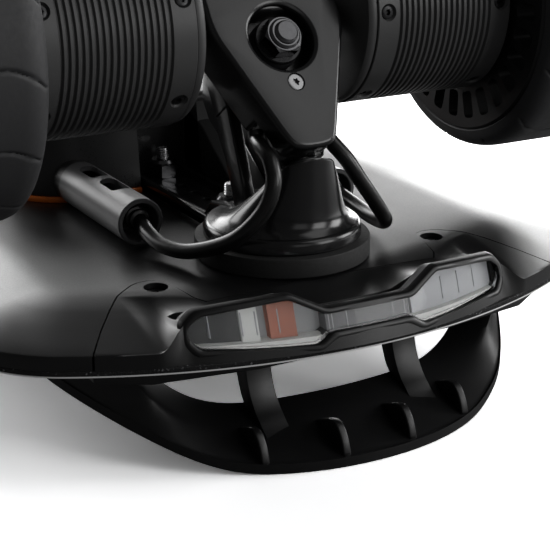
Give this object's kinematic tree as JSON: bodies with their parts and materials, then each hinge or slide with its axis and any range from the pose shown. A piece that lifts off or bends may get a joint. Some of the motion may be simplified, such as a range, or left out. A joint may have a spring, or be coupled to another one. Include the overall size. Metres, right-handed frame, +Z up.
{
  "type": "electric skateboard",
  "caption": "Electric skateboard lying wheels up: wide deck, steering trucks, hub motors in ribbed casings, rubber wheels, underside enclosure, end light bars and skid bumpers.",
  "frame": {"origin": "middle of the bounding box on the floor plane; the board is stored upside down, as pictured, standing on the skid rims of its two bumpers", "axes": "+Y along the board from the motor end (tail) to the nose, +X across the board to the picture's right, +Z up from the floor, which is the riding board's down"},
  "size_m": [0.336, 0.96, 0.2104],
  "materials": {
    "deck_shell": "satin moulded shell",
    "grip": "gritty grip sheet",
    "enclosure_shell": "satin moulded cover",
    "gasket": "smooth silicone",
    "dark_screw": "black oxide",
    "battery_wrap": "shrink wrap",
    "heat_sink": "bare",
    "button_metal": "turned",
    "clear_lens": "clear moulded lens",
    "light_board": "white board",
    "bumper_plastic": "satin moulded plastic",
    "riser_rubber": "matt",
    "truck_paint": "satin black powder coat",
    "bright_steel": "zinc plated",
    "cup_plastic": "matt",
    "bushing_rubber": "smooth urethane",
    "sleeve_plastic": "satin",
    "cable_jacket": "smooth jacket",
    "motor_coat": "black anodised, matt",
    "copper_winding": "enamelled copper",
    "tyre_rubber": "matt grey-black rubber",
    "wheel_core": "matt black",
    "bearing_steel": "ground",
    "rotor_steel": "plated"
  },
  "bodies": {
    "board": {"deck": "deck_shell", "grip_pad": "grip", "enclosure": "enclosure_shell", "enclosure_gasket": "gasket", "enclosure_screws": "dark_screw", "battery_pack": "battery_wrap", "speed_controller": "heat_sink", "charge_port": "enclosure_shell", "tail_light_housing": "deck_shell", "tail_light_lens": "clear_lens", "nose_light_housing": "deck_shell", "nose_light_lens": "clear_lens", "light_boards": "light_board", "end_screws": "dark_screw", "tail_bumper": "bumper_plastic", "nose_bumper": "bumper_plastic", "riser_pads": "riser_rubber", "tail_baseplate": "truck_paint", "nose_baseplate": "truck_paint", "base_bolts": "bright_steel", "pivot_cups": "cup_plastic", "kingpins": "bright_steel", "kingpin_nuts": "bright_steel", "bushing_washers": "bright_steel", "tail_lower_bushing": "bushing_rubber", "tail_upper_bushing": "bushing_rubber", "nose_lower_bushing": "bushing_rubber", "nose_upper_bushing": "bushing_rubber", "left_cable_sleeve": "sleeve_plastic", "right_cable_sleeve": "sleeve_plastic", "left_motor_cable": "cable_jacket", "right_motor_cable": "cable_jacket"},
    "power_button": {"power_button": "button_metal"},
    "tail_hanger": {"tail_hanger": "truck_paint", "tail_axle": "bright_steel", "tail_axle_nuts": "bright_steel", "hanger_screw": "bright_steel", "left_motor_casing": "motor_coat", "right_motor_casing": "motor_coat", "motor_caps": "motor_coat", "motor_screws": "dark_screw", "motor_stators": "copper_winding"},
    "nose_hanger": {"nose_hanger": "truck_paint", "nose_axle": "bright_steel", "nose_axle_nuts": "bright_steel"},
    "tail_left_wheel": {"tail_left_tyre": "tyre_rubber", "tail_left_core": "wheel_core", "tail_left_bearings": "bearing_steel", "tail_left_rotor": "rotor_steel"},
    "tail_right_wheel": {"tail_right_tyre": "tyre_rubber", "tail_right_core": "wheel_core", "tail_right_bearings": "bearing_steel", "tail_right_rotor": "rotor_steel"},
    "nose_left_wheel": {"nose_left_tyre": "tyre_rubber", "nose_left_core": "wheel_core", "nose_left_bearings": "bearing_steel"},
    "nose_right_wheel": {"nose_right_tyre": "tyre_rubber", "nose_right_core": "wheel_core", "nose_right_bearings": "bearing_steel"}
  },
  "joints": [
    {"name": "power_button_press", "type": "slide", "parent": "board", "child": "power_button", "axis": [-1, 0, 0], "range_m": [0, 0.002], "stiffness_N_per_m": 400, "springref_m": -0.001},
    {"name": "tail_steer", "type": "hinge", "parent": "board", "child": "tail_hanger", "pos_m": [0, -0.39021, 0.1339], "axis": [0, 0.5736, 0.8192], "range_deg": [-15, 15], "stiffness_Nm_per_rad": 80, "deforming": ["tail_lower_bushing", "tail_upper_bushing", "left_motor_cable", "right_motor_cable"]},
    {"name": "nose_steer", "type": "hinge", "parent": "board", "child": "nose_hanger", "pos_m": [0, 0.39021, 0.1339], "axis": [0, -0.5736, 0.8192], "range_deg": [-15, 15], "stiffness_Nm_per_rad": 80, "deforming": ["nose_lower_bushing", "nose_upper_bushing"]},
    {"name": "tail_left_wheel_spin", "type": "hinge", "parent": "tail_hanger", "child": "tail_left_wheel", "pos_m": [-0.1305, -0.371, 0.1454], "axis": [1, 0, 0], "continuous": true},
    {"name": "tail_right_wheel_spin", "type": "hinge", "parent": "tail_hanger", "child": "tail_right_wheel", "pos_m": [0.1305, -0.371, 0.1454], "axis": [1, 0, 0], "continuous": true},
    {"name": "nose_left_wheel_spin", "type": "hinge", "parent": "nose_hanger", "child": "nose_left_wheel", "pos_m": [-0.1305, 0.371, 0.1454], "axis": [1, 0, 0], "continuous": true},
    {"name": "nose_right_wheel_spin", "type": "hinge", "parent": "nose_hanger", "child": "nose_right_wheel", "pos_m": [0.1305, 0.371, 0.1454], "axis": [1, 0, 0], "continuous": true}
  ]
}
